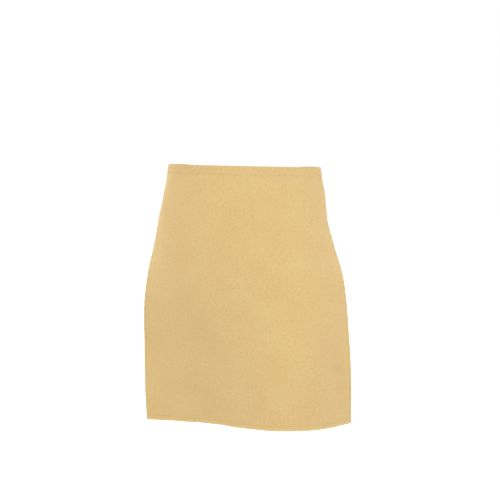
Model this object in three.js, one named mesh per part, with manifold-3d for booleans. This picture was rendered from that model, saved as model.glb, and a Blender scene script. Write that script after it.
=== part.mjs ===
// Waist apron: a plain panel of heavy woven cloth on a loop of webbing that is fastened behind the waist.
// Millimetres, +Z up. The origin is the centre of the waist loop, and the front of the cloth faces -Y.

import * as THREE from 'three';
import { mergeVertices } from 'three/addons/utils/BufferGeometryUtils.js';
import Module from 'manifold-3d';

const wasm = await Module();
wasm.setup();

// The cloth panel, as it is cut and hemmed
const panelWidth = 584;
const panelDrop = 610;
const clothThickness = 1.5;
const hemThickness = 2.8;
const edgeHem = 12;
const bandHem = 25;
const hemStep = 1.2; // the turned-in layer ends over this width
const columnPitch = 12;
const rowPitch = 20;
const bandPitch = 6.5; // the rows lie closer where the webbing is sewn behind them
const walkStep = 2; // the stride of the walk across a section
const leanShare = 0.4; // the weave gives, so a leaning column loses only this share of its fall

// The waist loop sits a little lower on the wearer's left, so the cloth below it does too
const loopTilt = THREE.MathUtils.degToRad(1.2);

// Level sections through the cloth. drop is measured down the cloth from its top edge, midX and midY place
// the middle of the width, and the rest are headings in plan, in degrees from +X, at seven even stations.
const stationColumns = [
  'leftEdge', 'leftSide', 'leftFront', 'middle', 'rightFront', 'rightSide', 'rightEdge',
];
const sectionColumns = ['drop', 'midX', 'midY', ...stationColumns];
const sectionTable = [
  [0, 0, -124, -118, -62, -24, 0, 24, 62, 118],
  [26, 0, -127, -113, -60, -24, 0, 24, 60, 113],
  [60, 1, -132, -105, -57, -23, 0, 23, 58, 109],
  [110, 1, -138, -95, -53, -22, -1, 21, 56, 103],
  [190, 3, -146, -80, -48, -21, -3, 17, 51, 90],
  [290, 6, -150, -60, -40, -22, -7, 12, 45, 74],
  [450, 12, -146, -34, -33, -32, -20, 5, 47, 61],
  [610, 20, -134, -5, -27, -39, -30, 4, 55, 46],
];

// Soft folds. Each follows a straight line on the flat cloth, from one place to another, measured across from
// the middle and down from the top edge. It stands out by its reach half way along, and fades to both ends.
const foldColumns = ['fromAcross', 'fromDrop', 'toAcross', 'toDrop', 'reach', 'halfWidth'];
const foldTable = [
  [172, 480, 298, 496, -5.5, 32], // a dent beside the right edge
  [-150, 260, -250, 960, 4, 46], // flutes that open towards the foot
  [-75, 330, -115, 890, -3.5, 42],
  [25, 360, 75, 860, 3, 42],
  [125, 420, 160, 800, -2.5, 38],
  [215, 540, 240, 680, 2, 32],
];

// The webbing of the waist loop, and the clasp that it turns round at the back
const loopBack = 124;
const webWidth = bandHem;
const webThickness = 1.8;
const sewnLength = 40;
const sewnSteps = 4;
const backSteps = 14;
const tailSteps = 4;
const tailTaper = 22;
const seatGap = 0.35;
const turnSteps = 8;
const bendShare = 0.38;
const loopDip = 10; // the webbing sinks this much on its way to the clasp
const dipFrom = 160; // and starts down this far out from the middle
const clasp = { length: 64, height: 36, depth: 4, bevel: 1, corner: 7, bar: 4, slotLength: 6, slotSide: 1 };
const claspHub = { length: 30, height: 31, depth: 8, bevel: 1.5, corner: 5 };
const barX = (clasp.length - clasp.bar) / 2;
const turnRadius = Math.hypot(clasp.bar / 2, clasp.depth / 2) + seatGap + webThickness / 2;
const barY = loopBack - turnRadius;
const straightIntoClasp = 6;

function namedRows(table, columns) {
  return table.map((row) => Object.fromEntries(columns.map((name, i) => [name, row[i]])));
}

const sections = namedRows(sectionTable, sectionColumns);
const folds = namedRows(foldTable, foldColumns);

function ease(share) {
  return share * share * (3 - 2 * share);
}

// A smooth curve through the values that never swings past them
function smoothThrough(knots, values) {
  const last = knots.length - 1;
  const chord = (i) => (values[i + 1] - values[i]) / (knots[i + 1] - knots[i]);
  const slopes = values.map((value, i) => {
    if (i === 0 || i === last) {
      return chord(Math.min(i, last - 1));
    }
    const before = chord(i - 1);
    const after = chord(i);
    return before * after > 0 ? (2 * before * after) / (before + after) : 0;
  });
  return (place) => {
    let i = 0;
    while (i < last - 1 && place > knots[i + 1]) {
      i += 1;
    }
    const span = knots[i + 1] - knots[i];
    const t = (place - knots[i]) / span;
    const lead = t * (1 - t) * (1 - t) * span * slopes[i];
    const trail = t * t * (1 - t) * span * slopes[i + 1];
    return values[i] + (values[i + 1] - values[i]) * ease(t) + lead - trail;
  };
}

const overDrop = {};
for (const name of sectionColumns) {
  overDrop[name] = smoothThrough(sections.map((row) => row.drop), sections.map((row) => row[name]));
}

// Places along a length: the given stops, with the stretches between them divided evenly
function spread(stops, pitch) {
  const places = [stops[0]];
  for (let i = 1; i < stops.length; i += 1) {
    const stretch = stops[i] - stops[i - 1];
    const parts = Math.ceil(stretch / pitch);
    for (let k = 1; k <= parts; k += 1) {
      places.push(stops[i - 1] + (stretch * k) / parts);
    }
  }
  return places;
}

// The plan of one section: the cloth is walked from its middle to each edge, so its width never changes
function sectionPlan(drop, places) {
  const stations = stationColumns.map((name, i) => (i / (stationColumns.length - 1) - 0.5) * panelWidth);
  const heading = smoothThrough(stations, stationColumns.map((name) => overDrop[name](drop)));
  const walk = (point, from, to) => {
    const parts = Math.ceil(Math.abs(to - from) / walkStep);
    const stride = (to - from) / parts;
    const next = point.clone();
    for (let k = 0; k < parts; k += 1) {
      const angle = THREE.MathUtils.degToRad(heading(from + stride * (k + 0.5)));
      next.x += Math.cos(angle) * stride;
      next.y += Math.sin(angle) * stride;
    }
    return next;
  };
  const plan = new Map();
  const walkOut = (outward) => {
    let from = 0;
    let point = new THREE.Vector2(overDrop.midX(drop), overDrop.midY(drop));
    for (const to of outward) {
      point = walk(point, from, to);
      from = to;
      plan.set(to, point);
    }
  };
  walkOut(places.filter((place) => place > 0));
  walkOut(places.filter((place) => place <= 0).reverse());
  return places.map((place) => plan.get(place));
}

// A round swelling that is 1 at the middle and fades to nothing at -1 and 1
function swelling(share) {
  return Math.abs(share) < 1 ? Math.cos((Math.PI / 2) * share) ** 2 : 0;
}

// How far the folds lift a place on the cloth
function foldRelief(across, drop) {
  const place = new THREE.Vector2(across, drop);
  let relief = 0;
  for (const fold of folds) {
    const from = new THREE.Vector2(fold.fromAcross, fold.fromDrop);
    const run = new THREE.Vector2(fold.toAcross, fold.toDrop).sub(from);
    const way = place.clone().sub(from);
    const along = way.dot(run) / run.lengthSq();
    const beside = way.cross(run) / run.length();
    relief += fold.reach * swelling(beside / fold.halfWidth) * swelling(2 * along - 1);
  }
  return relief;
}

// The cloth before its folds, as rows of points. Each column keeps its length as it leans in or out.
function smoothFace(across, down) {
  const rows = [];
  for (const drop of down) {
    const above = rows.at(-1);
    const run = drop - (down[rows.length - 1] ?? drop);
    rows.push(sectionPlan(drop, across).map((point, i) => {
      if (!above) {
        return new THREE.Vector3(point.x, point.y, bandHem / 2 - Math.tan(loopTilt) * point.x);
      }
      const lean = Math.hypot(point.x - above[i].x, point.y - above[i].y);
      const fall = Math.sqrt(Math.max(run * run - leanShare * lean * lean, 0));
      return new THREE.Vector3(point.x, point.y, above[i].z - fall);
    }));
  }
  return rows;
}

function faceNormals(rows) {
  const bottom = rows.length - 1;
  const right = rows[0].length - 1;
  return rows.map((row, j) => row.map((point, i) => {
    const along = row[Math.min(i + 1, right)].clone().sub(row[Math.max(i - 1, 0)]);
    const downward = rows[Math.min(j + 1, bottom)][i].clone().sub(rows[Math.max(j - 1, 0)][i]);
    return downward.cross(along).normalize();
  }));
}

function clothFace(across, down) {
  const rows = smoothFace(across, down);
  const normals = faceNormals(rows);
  return rows.map((row, j) => row.map((point, i) => (
    point.clone().addScaledVector(normals[j][i], foldRelief(across[i], down[j]))
  )));
}

// A closed wall between an outer and an inner face, both rows of points from the top left
function wallGeometry(outer, inner) {
  const bottom = outer.length - 1;
  const right = outer[0].length - 1;
  const out = (i, j) => j * (right + 1) + i;
  const into = (i, j) => outer.length * (right + 1) + out(i, j);
  const index = [];
  const quad = (a, b, c, d) => index.push(a, b, c, a, c, d);
  for (let j = 0; j < bottom; j += 1) {
    for (let i = 0; i < right; i += 1) {
      quad(out(i, j + 1), out(i + 1, j + 1), out(i + 1, j), out(i, j));
      quad(into(i, j), into(i + 1, j), into(i + 1, j + 1), into(i, j + 1));
    }
    quad(out(0, j), into(0, j), into(0, j + 1), out(0, j + 1));
    quad(out(right, j + 1), into(right, j + 1), into(right, j), out(right, j));
  }
  for (let i = 0; i < right; i += 1) {
    quad(out(i, 0), out(i + 1, 0), into(i + 1, 0), into(i, 0));
    quad(out(i + 1, bottom), out(i, bottom), into(i, bottom), into(i + 1, bottom));
  }
  const geometry = new THREE.BufferGeometry().setFromPoints([...outer.flat(), ...inner.flat()]);
  geometry.setIndex(index);
  geometry.computeVertexNormals();
  return geometry;
}

function panelGeometry() {
  const half = panelWidth / 2;
  const hemStops = [half, half - edgeHem, half - edgeHem - hemStep];
  const across = spread([...hemStops.map((place) => -place), ...hemStops.toReversed()], columnPitch);
  const footStops = [panelDrop - edgeHem - hemStep, panelDrop - edgeHem, panelDrop];
  const bandStops = spread([0, bandHem], bandPitch);
  const down = spread([...bandStops, bandHem + hemStep, ...footStops], rowPitch);
  const inHem = (i, j) => (
    Math.abs(across[i]) >= half - edgeHem || down[j] <= bandHem || down[j] >= panelDrop - edgeHem
  );
  const outer = clothFace(across, down);
  const normals = faceNormals(outer);
  const inner = outer.map((row, j) => row.map((point, i) => (
    point.clone().addScaledVector(normals[j][i], inHem(i, j) ? -hemThickness : -clothThickness)
  )));
  return wallGeometry(outer, inner);
}

// A point to the left of a line's own direction, or to its right where the distance is negative
function besideLine(line, i, distance) {
  const along = line[Math.min(i + 1, line.length - 1)].clone().sub(line[Math.max(i - 1, 0)]).normalize();
  return new THREE.Vector2(line[i].x - along.y * distance, line[i].y + along.x * distance);
}

// The middle line of one edge of the webbing in plan, drawn on the right: from inside the panel's corner,
// where it lies along the cloth, round the waist to the clasp
function webLine(side, drop) {
  const places = spread([panelWidth / 2 - sewnLength, panelWidth / 2], sewnLength / sewnSteps);
  const seam = sectionPlan(drop, places.map((place) => side * place));
  seam.forEach((point) => point.set(side * point.x, point.y));
  const line = seam.map((point, i) => besideLine(seam, i, hemThickness + seatGap + webThickness / 2));
  const heading = THREE.MathUtils.degToRad(overDrop[side > 0 ? 'rightEdge' : 'leftEdge'](drop) * side);
  const start = line.at(-1);
  const end = new THREE.Vector2(barX + straightIntoClasp, loopBack);
  const pull = bendShare * start.distanceTo(end);
  const startPull = new THREE.Vector2(Math.cos(heading), Math.sin(heading)).multiplyScalar(pull).add(start);
  const endPull = new THREE.Vector2(end.x + pull, end.y);
  const back = new THREE.CubicBezierCurve(start, startPull, endPull, end);
  line.push(...back.getSpacedPoints(backSteps).slice(1));
  return line;
}

// The webbing turns round the clasp's bar, and its tail is laid back beside it and closes on it
function turnedLine(line) {
  const turned = [...line];
  for (let k = 0; k <= turnSteps; k += 1) {
    const angle = Math.PI * (0.5 + k / turnSteps);
    const fromBar = new THREE.Vector2(Math.cos(angle), Math.sin(angle)).multiplyScalar(turnRadius);
    turned.push(fromBar.add(new THREE.Vector2(barX, barY)));
  }
  let walked = straightIntoClasp;
  for (let i = line.length - 1; i >= line.length - tailSteps; i -= 1) {
    const closed = ease(Math.min(walked / tailTaper, 1));
    turned.push(besideLine(line, i, THREE.MathUtils.lerp(2 * turnRadius, webThickness + seatGap, closed)));
    walked += line[i].distanceTo(line[i - 1]);
  }
  return turned;
}

function dipAt(x) {
  return loopDip * THREE.MathUtils.smoothstep(dipFrom - x, 0, dipFrom - barX - straightIntoClasp);
}

function webGeometry(side) {
  const faceRows = (distance) => [0, webWidth].map((drop) => {
    const line = turnedLine(webLine(side, drop));
    const row = line.map((point, i) => {
      const place = besideLine(line, i, distance);
      const z = webWidth / 2 - drop - Math.tan(loopTilt) * side * place.x - dipAt(place.x);
      return new THREE.Vector3(side * place.x, place.y, z);
    });
    return side > 0 ? row : row.reverse();
  });
  return wallGeometry(faceRows(-webThickness / 2), faceRows(webThickness / 2));
}

function roundedPlate(size) {
  const shape = new THREE.Shape();
  const x = size.length / 2;
  const y = size.height / 2;
  const r = size.corner;
  shape.absarc(x - r, y - r, r, 0, Math.PI / 2);
  shape.absarc(r - x, y - r, r, Math.PI / 2, Math.PI);
  shape.absarc(r - x, r - y, r, Math.PI, 1.5 * Math.PI);
  shape.absarc(x - r, r - y, r, 1.5 * Math.PI, 2 * Math.PI);
  return shape;
}

function plateGeometry(shape, size) {
  const geometry = new THREE.ExtrudeGeometry(shape, {
    depth: size.depth - 2 * size.bevel,
    bevelThickness: size.bevel,
    bevelSize: size.bevel,
    bevelOffset: -size.bevel,
    bevelSegments: 1,
    curveSegments: 4,
  });
  geometry.rotateX(Math.PI / 2);
  return geometry.translate(0, size.depth / 2 - size.bevel, 0);
}

function solidOf(geometry) {
  const bare = geometry.clone();
  bare.deleteAttribute('normal');
  bare.deleteAttribute('uv');
  const merged = mergeVertices(bare);
  const mesh = new wasm.Mesh({
    numProp: 3,
    vertProperties: merged.attributes.position.array,
    triVerts: Uint32Array.from(merged.index.array),
  });
  return new wasm.Manifold(mesh);
}

function geometryOf(solid) {
  const mesh = solid.getMesh();
  const geometry = new THREE.BufferGeometry();
  geometry.setAttribute('position', new THREE.BufferAttribute(mesh.vertProperties, mesh.numProp));
  geometry.setIndex(new THREE.BufferAttribute(mesh.triVerts, 1));
  geometry.computeVertexNormals();
  return geometry;
}

// A plain plate with a thicker hub, and a slot inside each end bar for the webbing
function claspGeometry() {
  const plate = solidOf(plateGeometry(roundedPlate(clasp), clasp));
  const hub = solidOf(plateGeometry(roundedPlate(claspHub), claspHub));
  const slotX = clasp.length / 2 - clasp.bar - clasp.slotLength / 2;
  const slotSize = [clasp.slotLength, 2 * clasp.depth, webWidth + 2 * clasp.slotSide];
  const slotAt = (x) => solidOf(new THREE.BoxGeometry(...slotSize).translate(x, 0, 0));
  return geometryOf(plate.add(hub).subtract(slotAt(slotX)).subtract(slotAt(-slotX)));
}

function namedMesh(name, geometry, finish) {
  const mesh = new THREE.Mesh(geometry, new THREE.MeshStandardMaterial(finish));
  mesh.name = name;
  return mesh;
}

const cloth = { color: 0xdcbd82, roughness: 0.92, metalness: 0 };
const webbing = { color: 0xcfae72, roughness: 0.85, metalness: 0 };
const plastic = { color: 0x785e40, roughness: 0.5, metalness: 0 };

const apron = new THREE.Group();
apron.name = 'waist_apron';
apron.add(namedMesh('panel', panelGeometry(), cloth));
apron.add(namedMesh('strap_left', webGeometry(-1), webbing));
apron.add(namedMesh('strap_right', webGeometry(1), webbing));

const buckle = namedMesh('buckle', claspGeometry(), plastic);
buckle.position.set(0, barY, -loopDip);
buckle.rotation.y = loopTilt;
apron.add(buckle);

export default apron;
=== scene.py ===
import math

import bpy
import numpy as np
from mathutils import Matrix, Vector


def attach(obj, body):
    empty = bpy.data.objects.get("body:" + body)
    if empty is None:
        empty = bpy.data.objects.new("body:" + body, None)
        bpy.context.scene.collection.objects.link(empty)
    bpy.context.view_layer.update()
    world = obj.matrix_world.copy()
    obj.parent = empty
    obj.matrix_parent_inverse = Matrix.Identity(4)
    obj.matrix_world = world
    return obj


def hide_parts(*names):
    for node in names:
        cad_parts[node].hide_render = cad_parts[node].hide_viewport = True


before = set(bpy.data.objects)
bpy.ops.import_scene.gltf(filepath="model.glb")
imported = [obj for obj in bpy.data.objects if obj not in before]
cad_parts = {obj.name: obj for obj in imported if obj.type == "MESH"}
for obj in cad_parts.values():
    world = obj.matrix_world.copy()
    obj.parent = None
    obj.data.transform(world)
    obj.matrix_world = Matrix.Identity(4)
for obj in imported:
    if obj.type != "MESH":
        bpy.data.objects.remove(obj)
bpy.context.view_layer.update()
mm = 0.001  # sizes are in millimetres unless a note says metres, and Blender works in metres
print("frame loaded:", sorted(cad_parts))


# shader nodes

def newMaterial(name):
    material = bpy.data.materials.new(name)
    material.use_nodes = True
    tree = material.node_tree
    return material, tree, tree.nodes["Principled BSDF"]


def feed(tree, socket, value):
    # a socket takes a link or a plain value
    if isinstance(value, bpy.types.NodeSocket):
        tree.links.new(value, socket)
    else:
        socket.default_value = value


def addNode(tree, kind, settings=None, **sockets):
    node = tree.nodes.new(kind)
    for name, value in (settings or {}).items():
        setattr(node, name, value)
    for name, value in sockets.items():
        feed(tree, node.inputs[name], value)
    return node


def mathNode(tree, operation, first, second):
    node = addNode(tree, "ShaderNodeMath", {"operation": operation})
    feed(tree, node.inputs[0], first)
    feed(tree, node.inputs[1], second)
    return node.outputs[0]


def addUp(tree, *weighed):
    # patterns laid over each other, each with its weight
    total = 0
    for pattern, weight in weighed:
        total = mathNode(tree, "ADD", total, mathNode(tree, "MULTIPLY", pattern, weight))
    return total


def mixColours(tree, factor, first, second, way="MIX"):
    node = addNode(tree, "ShaderNodeMix", {"data_type": "RGBA", "blend_type": way})
    for place, value in ((0, factor), (6, first), (7, second)):  # the node's two colours are at 6 and 7
        feed(tree, node.inputs[place], value)
    return node.outputs[2]


def stretchRange(tree, value, ends, fromLow=0):
    # a value that runs from fromLow to 1 is spread between two ends
    node = addNode(tree, "ShaderNodeMapRange", Value=value)
    node.inputs["From Min"].default_value = fromLow
    node.inputs["To Min"].default_value, node.inputs["To Max"].default_value = ends
    return node.outputs[0]


def noise(tree, place, scale, detail, roughness=0.5):
    node = addNode(tree, "ShaderNodeTexNoise", Vector=place, Scale=scale, Detail=detail)
    node.inputs["Roughness"].default_value = roughness
    return node.outputs[0]


def bands(tree, place, period, way="X"):
    # even bands this far apart: a wave texture of scale 1 repeats after 2 pi / 20
    scale = 2 * math.pi / (20 * period)
    node = addNode(tree, "ShaderNodeTexWave", {"bands_direction": way}, Vector=place, Scale=scale)
    return node.outputs["Fac"]


def addRelief(tree, shader, height, depth, strength):
    raised = addNode(tree, "ShaderNodeBump", Height=height, Distance=depth, Strength=strength)
    tree.links.new(raised.outputs[0], shader.inputs["Normal"])


# camera, floor and light

cameraSet = {
    "pixels": 500,
    "mmPerPixel": 2.302,  # at the front of the cloth
    "frontY": -130,
    "distance": 5500,
    "centreX": 12.6,
    "centreZ": -180.9,
    "eyeZ": 62.5,
    "sensor": 36,
    "clipEnd": 200,  # metres
}

lightSet = {
    # name: place in metres, width in metres, power in watts, colour
    "key": ((3.9, -3.2, 1.3), 1.6, 40, (0.98, 1.0, 0.98)),
    "fill": ((-3.4, -3.8, -0.1), 2.0, 33, (1.0, 1.0, 1.0)),
    "rear": ((-1.7, 3.0, 1.8), 1.8, 56, (1.0, 0.99, 0.97)),
}

stageSet = {
    "floorZ": -0.98,  # metres, and the loop is at 0
    "floorSize": 60,  # metres
    "floorColour": (0.9, 0.9, 0.9, 1),
    "floorRoughness": 0.9,
    "floorGlow": 0.35,
    "white": (1, 1, 1, 1),
    "ambient": 0.92,
    "lift": 0.3,  # the ambient light is this share stronger from above, and weaker from below
    "aim": (0, -0.1, -0.3),  # metres
}


def aimAt(thing, target):
    thing.rotation_mode = "QUATERNION"
    thing.rotation_quaternion = (Vector(target) - thing.location).to_track_quat("-Z", "Y")


def makeCamera():
    c = cameraSet
    bpy.ops.object.select_all(action="DESELECT")
    bpy.ops.object.camera_add()
    camera = bpy.context.object
    camera.name = "photoCamera"
    camera.location = Vector((c["centreX"], c["frontY"] - c["distance"], c["eyeZ"])) * mm
    aimAt(camera, Vector((c["centreX"], c["frontY"], c["centreZ"])) * mm)
    camera.data.sensor_width = c["sensor"]
    camera.data.lens = c["sensor"] * c["distance"] / (c["pixels"] * c["mmPerPixel"])
    camera.data.clip_end = c["clipEnd"]
    bpy.context.scene.camera = camera


def makeFloor():
    s = stageSet
    bpy.ops.object.select_all(action="DESELECT")
    bpy.ops.mesh.primitive_plane_add(size=s["floorSize"], location=(0, 0, s["floorZ"]))
    floor = bpy.context.object
    floor.name = "floor"
    paper, tree, shader = newMaterial("paleFloor")
    shader.inputs["Base Color"].default_value = s["floorColour"]
    shader.inputs["Roughness"].default_value = s["floorRoughness"]
    shader.inputs["Emission Color"].default_value = s["white"]
    shader.inputs["Emission Strength"].default_value = s["floorGlow"]
    floor.data.materials.append(paper)
    floor.visible_diffuse = False  # the bright floor doesn't light the cloth from below


def makeLights():
    for name, (place, width, power, colour) in lightSet.items():
        bpy.ops.object.select_all(action="DESELECT")
        bpy.ops.object.light_add(type="AREA", location=place)
        lamp = bpy.context.object
        lamp.name = name
        lamp.data.size = width
        lamp.data.energy = power
        lamp.data.color = colour
        aimAt(lamp, stageSet["aim"])


def makeWorld():
    # soft light all round, strongest from above, and plain white where nothing stands
    s = stageSet
    world = bpy.data.worlds.new("studio")
    bpy.context.scene.world = world
    world.use_nodes = True
    tree = world.node_tree
    way = addNode(tree, "ShaderNodeTexCoord").outputs["Generated"]
    height = addNode(tree, "ShaderNodeSeparateXYZ", Vector=way).outputs["Z"]
    ends = (s["ambient"] * (1 - s["lift"]), s["ambient"] * (1 + s["lift"]))
    ambient = tree.nodes["Background"]
    ambient.inputs["Color"].default_value = s["white"]
    tree.links.new(stretchRange(tree, height, ends, fromLow=-1), ambient.inputs["Strength"])
    backdrop = addNode(tree, "ShaderNodeBackground", Color=s["white"])
    rays = addNode(tree, "ShaderNodeLightPath")
    both = addNode(tree, "ShaderNodeMixShader")
    tree.links.new(rays.outputs["Is Camera Ray"], both.inputs[0])
    tree.links.new(ambient.outputs[0], both.inputs[1])
    tree.links.new(backdrop.outputs[0], both.inputs[2])
    tree.links.new(both.outputs[0], tree.nodes["World Output"].inputs["Surface"])
    bpy.context.scene.view_settings.view_transform = "Standard"


makeCamera()
makeFloor()
makeLights()
makeWorld()
print("camera, floor and lights placed")


# the shape that the cloth hangs in

clothSet = {
    "width": 584,
    "drop": 610,
    "thickness": 1.5,
    "hemThickness": 2.8,
    "edgeHem": 12,
    "bandHem": 25,
    "hemStep": 1.2,  # the turned-in layer ends over this width
    "sideSeam": 10,  # stitch lines, in from the edges
    "topSeam": 22,
    "edgeRound": 1.1,
    "edgeAngle": 60,  # edges that turn further are rounded, and the hem's step isn't
    "edgeSegments": 3,
    "tilt": math.radians(1.2),  # the loop sits lower towards +X
    "leanShare": 0.4,  # the weave gives, so a leaning column loses only this share of its fall
    "walkStep": 0.5,
    "pitch": 3.4,  # of the points in the middle of the cloth
    "sideStops": [0, 2.4, 4.4, 6.4, 8.2, 9.2, 10, 10.8],  # points in from a side or foot edge
    "sidePast": [15, 17.6],  # and the first ones past its hem
    "topStops": [0, 2.4, 5, 8, 11, 14, 17, 19.6, 21, 22, 23],  # the same for the top edge
    "topPast": [28.4],
    "creaseShade": 0.2,  # how much painted shade darkens the pressed crease
    "hemShade": 0.04,  # painted shade over the hems
    "seamShade": 0.14,  # painted shade along the sewn lines
    "seamShadeHalf": 2.4,
    "edgeShade": 0.4,  # painted shade along the side edges
    "edgeShadeWidth": 5,
    "cornerShade": 0.5,  # darker at the folded corners
    "cornerShadeWidth": 9,
    "footHighlight": 0.7,  # how much a painted highlight lightens the fold of the foot hem
    "footHighlightWidth": 7,
}

# level sections: the drop from the top edge, where the middle of the width lies in plan,
# and then the cloth's headings in plan, in degrees, at seven even stations
sectionColumns = ["drop", "midX", "midY"]
stationColumns = ["leftEdge", "leftSide", "leftFront", "middle", "rightFront", "rightSide", "rightEdge"]
sectionTable = np.array([
    [0, 0, -124, -118, -62, -24, 0, 24, 62, 118],
    [26, 0, -127, -113, -60, -24, 0, 24, 60, 113],
    [60, 1, -132, -105, -57, -23, 0, 23, 58, 109],
    [110, 1, -138, -95, -53, -22, -1, 21, 56, 103],
    [190, 3, -146, -80, -48, -21, -3, 17, 51, 90],
    [290, 6, -150, -60, -40, -22, -7, 12, 45, 74],
    [450, 12, -146, -34, -33, -32, -20, 5, 47, 61],
    [610, 20, -134, -5, -27, -39, -30, 4, 55, 46],
], float)

# soft folds: where each starts and ends on the flat cloth, how far it stands out, half its width
foldColumns = ["fromAcross", "fromDrop", "toAcross", "toDrop", "reach", "halfWidth"]
foldTable = [
    [172, 480, 298, 496, -5.5, 32],  # dent beside the right edge
    [-150, 260, -250, 960, 4, 46],  # flutes that open towards the foot
    [-75, 330, -115, 890, -3.5, 42],
    [25, 360, 75, 860, 3, 42],
    [125, 420, 160, 800, -2.5, 38],
    [215, 540, 240, 680, 2, 32],
    [180, 512, 300, 530, -3, 26],  # lesser crease below the dent
    [-285, 10, -160, 230, 1.6, 22],  # drag lines from the sewn corners
    [-290, 40, -225, 300, -1.3, 20],
    [285, 10, 165, 220, 1.5, 22],
    [290, 45, 235, 280, -1.2, 20],
    [-1, -40, 34, 260, -0.9, 6],  # faint pressed crease down from the middle of the band
]
folds = [dict(zip(foldColumns, row)) for row in foldTable]
pressedCrease = folds[-1]


def ease(share):
    return share * share * (3 - 2 * share)


def bump(share):
    # 1 at 0, easing to 0 at 1 and beyond, to either side
    return np.where(np.abs(share) < 1, np.cos(np.pi / 2 * np.clip(share, -1, 1)) ** 2, 0)


def smoothThrough(knots, values, places):
    # a smooth curve through the values that never swings past them
    spans = np.diff(knots)
    chords = np.diff(values) / spans
    before, after = chords[:-1], chords[1:]
    sameWay = before * after > 0
    inner = np.where(sameWay, 2 * before * after / np.where(sameWay, before + after, 1), 0)
    slopes = np.concatenate([chords[:1], inner, chords[-1:]])
    i = np.clip(np.searchsorted(knots, places) - 1, 0, len(spans) - 1)
    t = (places - knots[i]) / spans[i]
    lead = t * (1 - t) ** 2 * spans[i] * slopes[i]
    trail = t ** 2 * (1 - t) * spans[i] * slopes[i + 1]
    return values[i] + (values[i + 1] - values[i]) * ease(t) + lead - trail


def atDrop(column, drop):
    i = (sectionColumns + stationColumns).index(column)
    return float(smoothThrough(sectionTable[:, 0], sectionTable[:, i], np.array([drop]))[0])


def sectionPlan(drop, places):
    # walked from edge to edge, so the cloth's width never changes, and then its middle is put in place
    half, step = clothSet["width"] / 2, clothSet["walkStep"]
    stations = np.linspace(-half, half, len(stationColumns))
    headings = np.array([atDrop(column, drop) for column in stationColumns])
    ends = np.arange(-half, half + step / 2, step)
    angles = np.radians(smoothThrough(stations, headings, ends[:-1] + step / 2))
    x = np.concatenate([[0], np.cumsum(np.cos(angles) * step)])
    y = np.concatenate([[0], np.cumsum(np.sin(angles) * step)])
    x += atDrop("midX", drop) - np.interp(0, ends, x)
    y += atDrop("midY", drop) - np.interp(0, ends, y)
    return np.interp(places, ends, x), np.interp(places, ends, y)


def faceNormals(points):
    along = np.gradient(points, axis=1)
    downward = np.gradient(points, axis=0)
    normals = np.cross(downward, along)
    return normals / np.linalg.norm(normals, axis=2, keepdims=True)


def spread(fromEdge, toEdge, length, pitch):
    # close places near both edges, even ones between
    parts = math.ceil((length - fromEdge[-1] - toEdge[-1]) / pitch)
    middle = np.linspace(fromEdge[-1], length - toEdge[-1], parts + 1)
    return np.concatenate([fromEdge[:-1], middle, length - np.array(toEdge[-2::-1])])


def clothLines():
    # the places of the points across the cloth and down it
    c = clothSet
    sideStops = c["sideStops"] + [c["edgeHem"], c["edgeHem"] + c["hemStep"]] + c["sidePast"]
    topStops = c["topStops"] + [c["bandHem"], c["bandHem"] + c["hemStep"]] + c["topPast"]
    acrossLine = spread(sideStops, sideStops, c["width"], c["pitch"]) - c["width"] / 2
    downLine = spread(topStops, sideStops, c["drop"], c["pitch"])
    return acrossLine, downLine


def hangLevel(acrossLine, downLine):
    # the points before any relief, a level section for each row
    c = clothSet
    plans = np.array([sectionPlan(drop, acrossLine) for drop in downLine])
    x, y = plans[:, 0], plans[:, 1]
    lean = np.hypot(np.diff(x, axis=0), np.diff(y, axis=0))
    fall = np.sqrt(np.diff(downLine)[:, None] ** 2 - c["leanShare"] * lean ** 2)
    fallen = np.vstack([0 * x[:1], np.cumsum(fall, axis=0)])
    z = c["bandHem"] / 2 - math.tan(c["tilt"]) * x[0] - fallen
    return np.stack([x, y, z], axis=2)


def clothHems(across, drop):
    # for each hem: how far a point lies in from its edge and along it, its width and its stitch line
    c = clothSet
    return [
        (c["width"] / 2 - np.abs(across), drop, c["edgeHem"], c["sideSeam"]),
        (drop, across, c["bandHem"], c["topSeam"]),
        (c["drop"] - drop, across, c["edgeHem"], c["sideSeam"]),
    ]


def foldShare(across, drop, fold):
    # 1 along the middle of a fold, fading to its sides and ends
    fromX, fromY = across - fold["fromAcross"], drop - fold["fromDrop"]
    runX, runY = fold["toAcross"] - fold["fromAcross"], fold["toDrop"] - fold["fromDrop"]
    length = math.hypot(runX, runY)
    along = (fromX * runX + fromY * runY) / length ** 2
    beside = (fromX * runY - fromY * runX) / length
    return bump(beside / fold["halfWidth"]) * bump(2 * along - 1)


def unevenRelief(across, drop):
    # faint unevenness of cloth in use
    wave = {"count": 16, "seed": 7, "shortest": 45, "longest": 170, "reach": 0.16}
    dice = np.random.default_rng(wave["seed"])
    relief = np.zeros(across.shape)
    for k in range(wave["count"]):
        length = dice.uniform(wave["shortest"], wave["longest"])
        angle, phase = dice.uniform(0, 2 * np.pi, 2)
        way = across * math.cos(angle) + drop * math.sin(angle)
        relief += wave["reach"] * length / wave["longest"] * np.sin(2 * np.pi * way / length + phase)
    return relief


def hemRelief(fromEdge, along, hemWidth, seam):
    # the stitch line pulls the cloth down, and the turned edge ropes a little between the stitches
    hem = {
        "groove": 0.5,
        "grooveHalf": 2.2,
        "rope": 0.5,
        "ropeLength": 17,
        "ropeSpread": 0.75,  # of the hem's width, to each side of its middle
        "slant": 0.7,
        "wander": 0.8,  # the ropes aren't quite even
        "wanderLength": 73.1,
    }
    groove = -hem["groove"] * bump((fromEdge - seam) / hem["grooveHalf"])
    wander = hem["wander"] * np.sin(2 * np.pi * along / hem["wanderLength"])
    phase = 2 * np.pi * (along + hem["slant"] * fromEdge) / hem["ropeLength"] + wander
    rope = hem["rope"] * np.sin(phase) * bump((fromEdge - hemWidth / 2) / (hem["ropeSpread"] * hemWidth))
    return groove + rope


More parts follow.
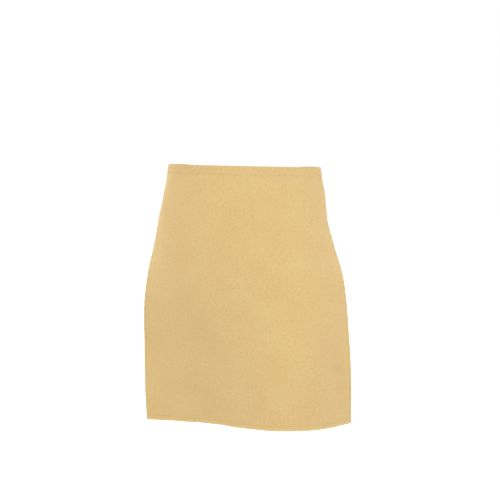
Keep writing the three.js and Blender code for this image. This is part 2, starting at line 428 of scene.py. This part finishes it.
def clothShade(across, drop, inHem):
    # above 0 the cloth is painted deeper, with painted shade and darker folded corners; below 0 a painted
    # highlight makes it paler
    c = clothSet
    fromSide, fromFoot = c["width"] / 2 - np.abs(across), c["drop"] - drop
    corner = bump(np.hypot(fromSide, fromFoot) / c["cornerShadeWidth"])
    # painted shade in the crease, over the hems and along the side edges, and darker folded corners
    shades = [
        c["creaseShade"] * foldShare(across, drop, pressedCrease),
        c["hemShade"] * inHem,
        c["edgeShade"] * bump(fromSide / c["edgeShadeWidth"]),
        c["cornerShade"] * corner,
    ]
    # painted shade along each hem's sewn line
    for fromEdge, along, hemWidth, seam in clothHems(across, drop):
        shades.append(c["seamShade"] * bump((fromEdge - seam) / c["seamShadeHalf"]))
    # a painted highlight along the fold of the foot hem, left off at the corners
    rubAndHighlight = c["footHighlight"] * bump(fromFoot / c["footHighlightWidth"]) * (1 - corner)
    return np.max(shades, axis=0) - rubAndHighlight


def hangCloth():
    acrossLine, downLine = clothLines()
    level = hangLevel(acrossLine, downLine)
    across, drop = np.meshgrid(acrossLine, downLine)
    hems = clothHems(across, drop)
    inHem = np.any([fromEdge <= hemWidth for fromEdge, along, hemWidth, seam in hems], axis=0)
    relief = sum(fold["reach"] * foldShare(across, drop, fold) for fold in folds)
    relief += unevenRelief(across, drop) + sum(hemRelief(*hem) for hem in hems)
    points = level + faceNormals(level) * relief[:, :, None]
    return {
        "acrossLine": acrossLine,
        "downLine": downLine,
        "points": points,
        "normals": faceNormals(points),
        "inHem": inHem,
        "shade": clothShade(across, drop, inHem),
    }


hung = hangCloth()
print("cloth hung:", hung["points"].shape[:2], "points")


# finishes, with lengths in metres; each noise has its scale, its detail and perhaps its roughness

clothFinish = {
    "paler": (0.745, 0.537, 0.238, 1),
    "warmer": (0.72, 0.49, 0.213, 1),
    "deeper": (0.56, 0.39, 0.15, 1),  # painted shade, where the shade is above 0
    "rubbedAndHighlight": (0.86, 0.66, 0.315, 1),  # a painted highlight, where it is below 0
    "twillPitch": 1.3 * mm,
    "twillTurn": math.radians(-58),
    "yarnPitch": 0.75 * mm,
    "slubStretch": (1300, 70, 1),  # thick places are long and thin
    "fuzz": (2200, 2),
    "mottle": (11, 3, 0.55),
    "speckle": (190, 3, 0.7),
    "slubs": (1, 2),
    "mottleRange": (-0.4, 1.4),
    "speckleRange": (0.84, 1.16),
    "slubRange": (0.9, 1.1),
    # the twill's lines, darker in the gaps between the ribs with painted shade
    "twillRange": (0.88, 1.08),
    "roughRange": (0.82, 0.98),
    "twillRelief": 0.6,
    "yarnRelief": 0.3,
    "fuzzRelief": 0.35,
    "reliefDepth": 0.25 * mm,
    "reliefStrength": 0.8,
    "specular": 0.25,
    "sheen": 0.12,
    "sheenRoughness": 0.6,
    "sheenTint": (1, 0.93, 0.78, 1),
}


def makeClothFinish():
    f = clothFinish
    material, tree, shader = newMaterial("goldenTwill")
    weave = addNode(tree, "ShaderNodeUVMap", {"uv_map": "weave"}).outputs["UV"]
    turned = addNode(tree, "ShaderNodeMapping", Vector=weave, Rotation=(0, 0, f["twillTurn"])).outputs[0]
    stretched = addNode(tree, "ShaderNodeMapping", Vector=weave, Scale=f["slubStretch"]).outputs[0]
    twill = bands(tree, turned, f["twillPitch"])
    yarns = bands(tree, weave, f["yarnPitch"])
    fuzz = noise(tree, weave, *f["fuzz"])
    mottle = noise(tree, weave, *f["mottle"])
    speckle = noise(tree, weave, *f["speckle"])
    slubs = noise(tree, stretched, *f["slubs"])

    colour = mixColours(tree, stretchRange(tree, mottle, f["mottleRange"]), f["warmer"], f["paler"])
    # the shade attribute: painted shade above 0, a painted highlight below 0
    shade = addNode(tree, "ShaderNodeAttribute", {"attribute_name": "shade"}).outputs["Fac"]
    colour = mixColours(tree, shade, colour, f["deeper"])
    colour = mixColours(tree, mathNode(tree, "MULTIPLY", shade, -1), colour, f["rubbedAndHighlight"])
    grain = mathNode(tree, "MULTIPLY", stretchRange(tree, speckle, f["speckleRange"]),
                     stretchRange(tree, slubs, f["slubRange"]))
    # the twill's lines, with painted shade darkening the gaps between the ribs
    grain = mathNode(tree, "MULTIPLY", grain, stretchRange(tree, twill, f["twillRange"]))
    colour = mixColours(tree, 1.0, colour, grain, "MULTIPLY")
    tree.links.new(colour, shader.inputs["Base Color"])
    tree.links.new(stretchRange(tree, speckle, f["roughRange"]), shader.inputs["Roughness"])

    relief = addUp(tree, (twill, f["twillRelief"]), (yarns, f["yarnRelief"]), (fuzz, f["fuzzRelief"]))
    addRelief(tree, shader, relief, f["reliefDepth"], f["reliefStrength"])
    shader.inputs["Specular IOR Level"].default_value = f["specular"]
    shader.inputs["Sheen Weight"].default_value = f["sheen"]
    shader.inputs["Sheen Roughness"].default_value = f["sheenRoughness"]
    shader.inputs["Sheen Tint"].default_value = f["sheenTint"]
    return material


webbingFinish = {
    "colour": (0.61, 0.415, 0.16, 1),
    # painted shade: the grooves between the ribs take this darker colour
    "groove": (0.46, 0.3, 0.11, 1),
    "ribPitch": 1.7 * mm,
    "ribSlant": 0.8,
    "chevron": 6.25 * mm,  # the ribs change their slant this far across
    "yarnPitch": 0.8 * mm,
    "fuzz": (1500, 2),
    "mottle": (60, 3),
    "ribRange": (0.15, 1),
    "mottleRange": (0.85, 1.15),
    "roughRange": (0.7, 0.95),
    "ribHeight": 0.8,  # of a rib between two yarns
    "fuzzRelief": 0.5,
    "reliefDepth": 0.22 * mm,
    "reliefStrength": 0.8,
    "specular": 0.3,
    "sheen": 0.1,
}


def makeWebbingFinish():
    # herringbone webbing: slanted ribs that turn back across the width
    f = webbingFinish
    material, tree, shader = newMaterial("tanWebbing")
    weave = addNode(tree, "ShaderNodeUVMap", {"uv_map": "weave"}).outputs["UV"]
    parts = addNode(tree, "ShaderNodeSeparateXYZ", Vector=weave)
    zigzag = mathNode(tree, "PINGPONG", parts.outputs["Y"], f["chevron"])
    slanted = addUp(tree, (parts.outputs["X"], 1), (zigzag, f["ribSlant"]))
    ribPlace = addNode(tree, "ShaderNodeCombineXYZ", X=slanted).outputs[0]
    ribs = bands(tree, ribPlace, f["ribPitch"])
    yarns = bands(tree, weave, f["yarnPitch"], "Y")
    fuzz = noise(tree, weave, *f["fuzz"])
    mottle = noise(tree, weave, *f["mottle"])

    # the ribs' pattern, with painted shade in the grooves between them
    colour = mixColours(tree, stretchRange(tree, ribs, f["ribRange"]), f["groove"], f["colour"])
    colour = mixColours(tree, 1.0, colour, stretchRange(tree, mottle, f["mottleRange"]), "MULTIPLY")
    tree.links.new(colour, shader.inputs["Base Color"])
    tree.links.new(stretchRange(tree, fuzz, f["roughRange"]), shader.inputs["Roughness"])

    woven = mathNode(tree, "MULTIPLY", ribs, mathNode(tree, "ADD", yarns, f["ribHeight"]))
    relief = addUp(tree, (woven, 1), (fuzz, f["fuzzRelief"]))
    addRelief(tree, shader, relief, f["reliefDepth"], f["reliefStrength"])
    shader.inputs["Specular IOR Level"].default_value = f["specular"]
    shader.inputs["Sheen Weight"].default_value = f["sheen"]
    return material


threadFinish = {
    "deeper": (0.60, 0.44, 0.18, 1),
    "paler": (0.80, 0.63, 0.31, 1),
    "twist": (1800, 2),
    "roughness": 0.6,
    "reliefDepth": 0.08 * mm,
    "reliefStrength": 0.7,
}


def makeThreadFinish():
    f = threadFinish
    material, tree, shader = newMaterial("paleThread")
    place = addNode(tree, "ShaderNodeTexCoord").outputs["Object"]
    twist = noise(tree, place, *f["twist"])
    tree.links.new(mixColours(tree, twist, f["deeper"], f["paler"]), shader.inputs["Base Color"])
    addRelief(tree, shader, twist, f["reliefDepth"], f["reliefStrength"])
    shader.inputs["Roughness"].default_value = f["roughness"]
    return material


plasticFinish = {
    "deeper": (0.165, 0.1, 0.046, 1),
    "paler": (0.215, 0.132, 0.062, 1),
    "rubbedAndHighlight": (0.33, 0.225, 0.13, 1),  # in patches on the rounded edges
    "grain": (1600, 3),
    "scuffs": (120, 4, 0.65),
    "rubRange": (-0.5, 1.3),
    "roughRange": (0.34, 0.58),
    "reliefDepth": 0.05 * mm,
    "reliefStrength": 0.5,
}


def makePlasticFinish():
    f = plasticFinish
    material, tree, shader = newMaterial("brownPlastic")
    place = addNode(tree, "ShaderNodeTexCoord").outputs["Object"]
    grain = noise(tree, place, *f["grain"])
    scuffs = noise(tree, place, *f["scuffs"])
    colour = mixColours(tree, scuffs, f["deeper"], f["paler"])
    rubAndHighlight = addNode(tree, "ShaderNodeAttribute", {"attribute_name": "rubAndHighlight"}).outputs["Fac"]
    worn = mathNode(tree, "MULTIPLY", rubAndHighlight, stretchRange(tree, scuffs, f["rubRange"]))
    tree.links.new(mixColours(tree, worn, colour, f["rubbedAndHighlight"]), shader.inputs["Base Color"])
    tree.links.new(stretchRange(tree, scuffs, f["roughRange"]), shader.inputs["Roughness"])
    addRelief(tree, shader, grain, f["reliefDepth"], f["reliefStrength"])
    return material


clothMaterial = makeClothFinish()
webbingMaterial = makeWebbingFinish()
threadMaterial = makeThreadFinish()
plasticMaterial = makePlasticFinish()
print("finishes made")


# sheets of cloth and webbing

def newGrid(name, rows, columns):
    bpy.ops.object.select_all(action="DESELECT")
    bpy.ops.mesh.primitive_grid_add(x_subdivisions=columns - 1, y_subdivisions=rows - 1, size=1)
    piece = bpy.context.object
    piece.name = piece.data.name = name
    return piece


def layGrid(piece, points, weave):
    # the grid's first row is its lowest, so the rows are turned over
    mesh = piece.data
    mesh.vertices.foreach_set("co", (points[::-1] * mm).reshape(-1))
    corners = np.zeros(len(mesh.loops), int)
    mesh.loops.foreach_get("vertex_index", corners)
    mesh.uv_layers[0].name = "weave"
    mesh.uv_layers[0].data.foreach_set("uv", (weave[::-1].reshape(-1, 2)[corners] * mm).reshape(-1))
    mesh.update()


def roundEdges(piece, width, angle, segments):
    # rounds the edges that turn further than the angle
    edges = piece.modifiers.new("edges", "BEVEL")
    edges.limit_method = "ANGLE"
    edges.angle_limit = math.radians(angle)
    edges.width = width * mm
    edges.segments = segments
    bpy.ops.object.modifier_apply(modifier="edges")


def thicken(piece, thickness, offset, shares):
    # shares says how much of the thickness each point of the grid gets
    group = piece.vertex_groups.new(name="thickness")
    shares = shares[::-1].reshape(-1)
    for share in np.unique(shares):
        group.add(np.flatnonzero(shares == share).tolist(), float(share), "REPLACE")
    wall = piece.modifiers.new("wall", "SOLIDIFY")
    wall.thickness = thickness * mm
    wall.offset = offset
    wall.vertex_group = group.name
    wall.use_quality_normals = True
    bpy.ops.object.modifier_apply(modifier="wall")


def finishSheet(piece, edgeRound, edgeAngle, edgeSegments):
    roundEdges(piece, edgeRound, edgeAngle, edgeSegments)
    piece.vertex_groups.clear()
    bpy.ops.object.shade_smooth()


def finishPiece(piece, material, slot, *nodes):
    piece.data.materials.clear()
    piece.data.materials.append(material)
    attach(piece, "root")
    if nodes:
        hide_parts(*nodes)


def makePanel():
    c = clothSet
    rows, columns = hung["points"].shape[:2]
    panel = newGrid("clothPanel", rows, columns)
    weave = np.stack(np.meshgrid(hung["acrossLine"], -hung["downLine"]), axis=2)
    layGrid(panel, hung["points"], weave)
    # painted shade, and a painted highlight where it is below 0, for the cloth's finish
    shade = panel.data.attributes.new("shade", "FLOAT", "POINT")
    shade.data.foreach_set("value", hung["shade"][::-1].reshape(-1))
    shares = np.where(hung["inHem"], 1.0, c["thickness"] / c["hemThickness"])
    thicken(panel, c["hemThickness"], -1, shares)
    finishSheet(panel, c["edgeRound"], c["edgeAngle"], c["edgeSegments"])
    finishPiece(panel, clothMaterial, "cloth", "panel")
    return panel


clothPanel = makePanel()
print("panel:", len(clothPanel.data.polygons), "faces")


# the webbing of the waist loop, and the clasp that it turns round at the back

webSet = {
    "width": 25,
    "thickness": 1.8,
    "edgeShare": 0.7,  # the woven edge is thinner than the middle
    "edgeRound": 0.5,
    "edgeAngle": 60,
    "edgeSegments": 2,
    "loopBack": 124,
    "sewnLength": 40,
    "seatGap": 0.35,
    "bendShare": 0.38,
    "dip": 10,  # the webbing sinks this much on its way to the clasp
    "dipFrom": 160,  # and starts down this far out from the middle
    "straightIntoClasp": 6,
    "tailShare": 3 / 14,  # of the way from the panel to the clasp
    "tailTaper": 22,
    "sewnPoints": 14,
    "backPoints": 64,
    "turnPoints": 17,
    "widthPoints": 9,
}

claspSet = {
    "length": 64,
    "height": 36,
    "depth": 4,
    "corner": 7,
    "bar": 4,
    "slotLength": 6,
    "slotSide": 1,
    "slotCorner": 1.2,
    "hubLength": 30,
    "hubHeight": 31,
    "hubDepth": 8,
    "hubCorner": 5,
    "cornerSegments": 6,
    "slotSegments": 3,
    "edgeRound": 0.9,
    "slotRound": 0.6,
    "hubRound": 1.2,
    "edgeAngle": 50,
    "edgeSegments": 3,
    "smoothAngle": 35,
    "flatShare": 0.99,  # a face less in line with x, y or z than this is on a rounded edge
}

barX = (claspSet["length"] - claspSet["bar"]) / 2
barReach = math.hypot(claspSet["bar"], claspSet["depth"]) / 2  # from the bar's middle to its corners
turnRadius = barReach + webSet["seatGap"] + webSet["thickness"] / 2
barY = webSet["loopBack"] - turnRadius


def besideLine(line, distance):
    # the line moved to the left of its own direction
    along = np.gradient(line, axis=0)
    along /= np.linalg.norm(along, axis=1, keepdims=True)
    return line + np.column_stack([-along[:, 1], along[:, 0]]) * np.reshape(distance, (-1, 1))


def sewnLine(side, drop):
    # along the inside of the cloth, to its edge
    w = webSet
    half = clothSet["width"] / 2
    x, y = sectionPlan(drop, side * np.linspace(half - w["sewnLength"], half, w["sewnPoints"]))
    inset = clothSet["hemThickness"] + w["seatGap"] + w["thickness"] / 2
    return besideLine(np.column_stack([side * x, y]), inset)


def backLine(side, drop, start):
    # one smooth bend from the cloth's edge to the clasp
    w = webSet
    heading = math.radians(side * atDrop("rightEdge" if side > 0 else "leftEdge", drop))
    end = np.array([barX + w["straightIntoClasp"], w["loopBack"]])
    pull = w["bendShare"] * np.linalg.norm(end - start)
    startPull = start + pull * np.array([math.cos(heading), math.sin(heading)])
    endPull = end + [pull, 0]
    t = np.linspace(0, 1, w["backPoints"])[1:, None]
    s = 1 - t
    return s ** 3 * start + 3 * s ** 2 * t * startPull + 3 * s * t ** 2 * endPull + t ** 3 * end


def tailLine(back):
    # from the bar back along the inside of the webbing, closing up to it
    w = webSet
    runs = np.linalg.norm(np.diff(back, axis=0), axis=1)
    walked = np.concatenate([[0], np.cumsum(runs[::-1])])
    kept = walked <= w["tailShare"] * walked[-1]
    closed = ease(np.minimum((walked + w["straightIntoClasp"]) / w["tailTaper"], 1))
    gap = 2 * turnRadius + (w["thickness"] + w["seatGap"] - 2 * turnRadius) * closed
    return besideLine(back, gap[::-1])[::-1][kept]


def webLine(side, drop):
    # one edge of the webbing in plan, drawn as on the right, and how many points go to the clasp and back
    sewn = sewnLine(side, drop)
    back = backLine(side, drop, sewn[-1])
    tail = tailLine(back)
    angles = np.pi * np.linspace(0.5, 1.5, webSet["turnPoints"])  # half a turn round the bar
    turn = np.column_stack([barX + turnRadius * np.cos(angles), barY + turnRadius * np.sin(angles)])
    return np.vstack([sewn, back, turn, tail]), len(sewn) + len(back), len(tail)


def dipAt(x):
    w = webSet
    share = (w["dipFrom"] - x) / (w["dipFrom"] - barX - w["straightIntoClasp"])
    return w["dip"] * ease(np.clip(share, 0, 1))


def runWebbing(side):
    # the middle of the webbing as a sheet, and how far along it the turn starts and the tail starts
    w = webSet
    downLine = np.linspace(0, w["width"], w["widthPoints"])
    top, outCount, tailCount = webLine(side, 0)
    foot = webLine(side, w["width"])[0]
    rows = []
    for drop in downLine:
        plan = top + (foot - top) * drop / w["width"]
        z = w["width"] / 2 - drop - math.tan(clothSet["tilt"]) * side * plan[:, 0] - dipAt(plan[:, 0])
        rows.append(np.column_stack([side * plan[:, 0], plan[:, 1], z]))
    points = np.array(rows)
    runs = np.linalg.norm(np.diff(points, axis=1), axis=2).mean(axis=0)
    along = np.concatenate([[0], np.cumsum(runs)])
    return {
        "acrossLine": along,
        "downLine": downLine,
        "points": points,
        "normals": side * faceNormals(points),
        "turnStart": along[outCount - 1],
        "tailStart": along[-tailCount],
    }


def makeStrap(name, web, side, node):
    w = webSet
    rows, columns = web["points"].shape[:2]
    strap = newGrid(name, rows, columns)
    weave = np.stack(np.meshgrid(web["acrossLine"], -web["downLine"]), axis=2)
    layGrid(strap, web["points"][:, ::side], weave[:, ::side])
    shares = np.ones((rows, columns))
    shares[[0, -1]] = w["edgeShare"]
    thicken(strap, w["thickness"], 0, shares)
    finishSheet(strap, w["edgeRound"], w["edgeAngle"], w["edgeSegments"])
    finishPiece(strap, webbingMaterial, "webbing", node)
    return strap


leftWeb, rightWeb = runWebbing(-1), runWebbing(1)
webbingLeft = makeStrap("webbingLeft", leftWeb, -1, "strap_left")
webbingRight = makeStrap("webbingRight", rightWeb, 1, "strap_right")
print("webbing:", len(webbingLeft.data.polygons) + len(webbingRight.data.polygons), "faces")


# the clasp

def roundedBlock(name, size, corner, segments):
    # a block of the size in x, y and z, with its four edges along y rounded
    bpy.ops.object.select_all(action="DESELECT")
    bpy.ops.mesh.primitive_cube_add(size=1)
    block = bpy.context.object
    block.name = block.data.name = name
    block.scale = Vector(size) * mm
    bpy.ops.object.transform_apply(scale=True)
    bpy.ops.object.mode_set(mode="EDIT")
    bpy.ops.mesh.select_mode(type="EDGE")
    bpy.ops.mesh.select_all(action="DESELECT")
    bpy.ops.object.mode_set(mode="OBJECT")
    for edge in block.data.edges:
        a, b = (block.data.vertices[i].co for i in edge.vertices)
        edge.select = abs(a.y - b.y) > size[1] * mm / 2
    bpy.ops.object.mode_set(mode="EDIT")
    bpy.ops.mesh.bevel(offset=corner * mm, segments=segments, affect="EDGES")
    bpy.ops.object.mode_set(mode="OBJECT")
    return block


def joinBlock(piece, other, operation):
    bpy.ops.object.select_all(action="DESELECT")
    piece.select_set(True)
    bpy.context.view_layer.objects.active = piece
    join = piece.modifiers.new("join", "BOOLEAN")
    join.operation = operation
    join.solver = "EXACT"
    join.object = other
    bpy.ops.object.modifier_apply(modifier="join")
    bpy.data.objects.remove(other)


def softenBlock(block, width):
    roundEdges(block, width, claspSet["edgeAngle"], claspSet["edgeSegments"])


def makeClasp():
    c = claspSet
    bodySize = (c["length"], c["depth"], c["height"])
    body = roundedBlock("claspBody", bodySize, c["corner"], c["cornerSegments"])
    softenBlock(body, c["edgeRound"])
    slotSize = (c["slotLength"], 2 * c["depth"], webSet["width"] + 2 * c["slotSide"])
    slotX = c["length"] / 2 - c["bar"] - c["slotLength"] / 2
    for side in (-1, 1):
        slot = roundedBlock("slot", slotSize, c["slotCorner"], c["slotSegments"])
        slot.location.x = side * slotX * mm
        joinBlock(body, slot, "DIFFERENCE")
    softenBlock(body, c["slotRound"])
    hubSize = (c["hubLength"], c["hubDepth"], c["hubHeight"])
    hub = roundedBlock("hub", hubSize, c["hubCorner"], c["cornerSegments"])
    softenBlock(hub, c["hubRound"])
    joinBlock(body, hub, "UNION")
    body.location = (0, barY * mm, -webSet["dip"] * mm)
    body.rotation_euler.y = clothSet["tilt"]
    bpy.ops.object.transform_apply(location=True, rotation=True, scale=True)
    bpy.ops.object.shade_smooth_by_angle(angle=math.radians(c["smoothAngle"]))
    steady = body.modifiers.new("steady", "WEIGHTED_NORMAL")  # keeps the flats looking flat
    steady.keep_sharp = True
    bpy.ops.object.modifier_apply(modifier="steady")
    rubAndHighlight = body.data.attributes.new("rubAndHighlight", "FLOAT", "FACE")  # the rounded edges are worn paler
    rounded = [max(map(abs, face.normal)) < c["flatShare"] for face in body.data.polygons]
    rubAndHighlight.data.foreach_set("value", rounded)
    finishPiece(body, plasticMaterial, "clasp", "buckle")
    return body


claspBody = makeClasp()
print("clasp:", len(claspBody.data.polygons), "faces")


# stitches

stitchSet = {
    "pitch": 3.3,
    "length": 2.7,
    "width": 0.8,
    "height": 0.66,
    "sunk": 0.06,
    "sides": 6,
    "rings": 6,
    "lookAhead": 0.5,  # a stitch points to the place this far along its line
    "seamEnd": 2,  # the hems' stitch lines stop this far from the edges
}

sewnBox = {"fromSide": 13, "length": 24, "fromTop": 4, "height": 15}  # webbing to panel
tailBox = {"fromTurn": 17, "length": 16, "fromTop": 4.5, "height": 16}  # tail to webbing


def makeStitchShape():
    # one stitch, like a grain of rice: long in x, z away from the cloth
    s = stitchSet
    bpy.ops.object.select_all(action="DESELECT")
    bpy.ops.mesh.primitive_uv_sphere_add(segments=s["sides"], ring_count=s["rings"], radius=0.5)
    grain = bpy.context.object
    shape = np.array([(v.co.z, v.co.x, v.co.y) for v in grain.data.vertices])
    shape *= [s["length"], s["width"], s["height"]]
    shape[:, 2] -= s["sunk"]
    faces = [tuple(face.vertices) for face in grain.data.polygons]
    bpy.data.objects.remove(grain)
    return shape, faces


def onSheet(sheet, across, drop, depth):
    # places this deep under a sheet's face, and the outward direction there
    i = np.clip(np.searchsorted(sheet["acrossLine"], across) - 1, 0, len(sheet["acrossLine"]) - 2)
    j = np.clip(np.searchsorted(sheet["downLine"], drop) - 1, 0, len(sheet["downLine"]) - 2)
    s = ((across - sheet["acrossLine"][i]) / np.diff(sheet["acrossLine"])[i])[:, None]
    t = ((drop - sheet["downLine"][j]) / np.diff(sheet["downLine"])[j])[:, None]

    def between(grid):
        upper = grid[j, i] * (1 - s) + grid[j, i + 1] * s
        lower = grid[j + 1, i] * (1 - s) + grid[j + 1, i + 1] * s
        return upper * (1 - t) + lower * t

    outward = between(sheet["normals"])
    return between(sheet["points"]) - outward * depth, outward


def stitchLine(sheet, start, end, depth, inside=False):
    # stitches along a straight line on a sheet: their middles, directions and outward directions
    start, end = np.array(start, float), np.array(end, float)
    length = np.linalg.norm(end - start)
    count = max(1, round(length / stitchSet["pitch"]))
    places = start + (end - start) * ((np.arange(count) + 0.5) / count)[:, None]
    ahead = places + (end - start) / length * stitchSet["lookAhead"]
    middles, outwards = onSheet(sheet, *places.T, depth)
    alongs = onSheet(sheet, *ahead.T, depth)[0] - middles
    return middles, alongs, -outwards if inside else outwards


def throughLines(start, end, depth):
    # a line sewn through the panel shows on its outer face and on the inner one, this deep
    return [stitchLine(hung, start, end, 0), stitchLine(hung, start, end, depth, inside=True)]


def boxCorners(near, far, top, foot):
    return [(near, top), (far, top), (far, foot), (near, foot)]


def boxSides(corners):
    return list(zip(corners, corners[1:] + corners[:1]))


def hemLines():
    c, end = clothSet, stitchSet["seamEnd"]
    side, foot, top = c["width"] / 2 - c["sideSeam"], c["drop"] - c["sideSeam"], c["topSeam"]
    toSide, toFoot = c["width"] / 2 - end, c["drop"] - end
    lines = throughLines((-side, toFoot), (-side, end), c["hemThickness"])
    lines += throughLines((side, end), (side, toFoot), c["hemThickness"])
    lines += throughLines((-toSide, foot), (toSide, foot), c["hemThickness"])
    lines += throughLines((-toSide, top), (toSide, top), c["hemThickness"])
    return lines


def boxLines():
    # a box with a cross sews each end of the webbing to the panel
    b = sewnBox
    far, foot = clothSet["width"] / 2 - b["fromSide"], b["fromTop"] + b["height"]
    near = far - b["length"]
    depth = clothSet["hemThickness"] + webSet["seatGap"] + webSet["thickness"]
    lines = []
    for side in (-1, 1):
        corners = boxCorners(side * near, side * far, b["fromTop"], foot)
        cross = [(corners[0], corners[2]), (corners[1], corners[3])]
        for start, end in boxSides(corners) + cross:
            lines += throughLines(start, end, depth)
    return lines


def tailLines(web):
    # a box beside the clasp sews each tail down, seen on the webbing's outer face and on the tail's own
    b = tailBox
    near, far, foot = b["fromTurn"], b["fromTurn"] + b["length"], b["fromTop"] + b["height"]
    turnStart, tailStart = web["turnStart"], web["tailStart"]
    lines = []
    for start, end in ((turnStart - far, turnStart - near), (tailStart + near, tailStart + far)):
        for sideStart, sideEnd in boxSides(boxCorners(start, end, b["fromTop"], foot)):
            lines.append(stitchLine(web, sideStart, sideEnd, -webSet["thickness"] / 2))
    return lines


def sewStitches(name, lines):
    shape, faces = makeStitchShape()
    middles, alongs, outwards = (np.vstack(column) for column in zip(*lines))
    alongs = alongs / np.linalg.norm(alongs, axis=1, keepdims=True)
    besides = np.cross(outwards, alongs)
    besides /= np.linalg.norm(besides, axis=1, keepdims=True)
    outwards = np.cross(alongs, besides)
    points = middles[:, None] + shape[None, :, :1] * alongs[:, None]
    points = points + shape[None, :, 1:2] * besides[:, None] + shape[None, :, 2:] * outwards[:, None]
    step = len(shape)
    allFaces = [tuple(v + k * step for v in face) for k in range(len(middles)) for face in faces]
    mesh = bpy.data.meshes.new(name)
    mesh.from_pydata((points.reshape(-1, 3) * mm).tolist(), [], allFaces)
    piece = bpy.data.objects.new(name, mesh)
    bpy.context.scene.collection.objects.link(piece)
    mesh.shade_smooth()
    return piece


def makeStitches(name, lines, slot):
    stitches = sewStitches(name, lines)
    finishPiece(stitches, threadMaterial, slot)
    print(name + ":", len(stitches.data.polygons), "faces")
    return stitches


hemStitches = makeStitches("hemStitches", hemLines() + boxLines(), "cloth")
makeStitches("webbingStitches", tailLines(leftWeb) + tailLines(rightWeb), "webbing")
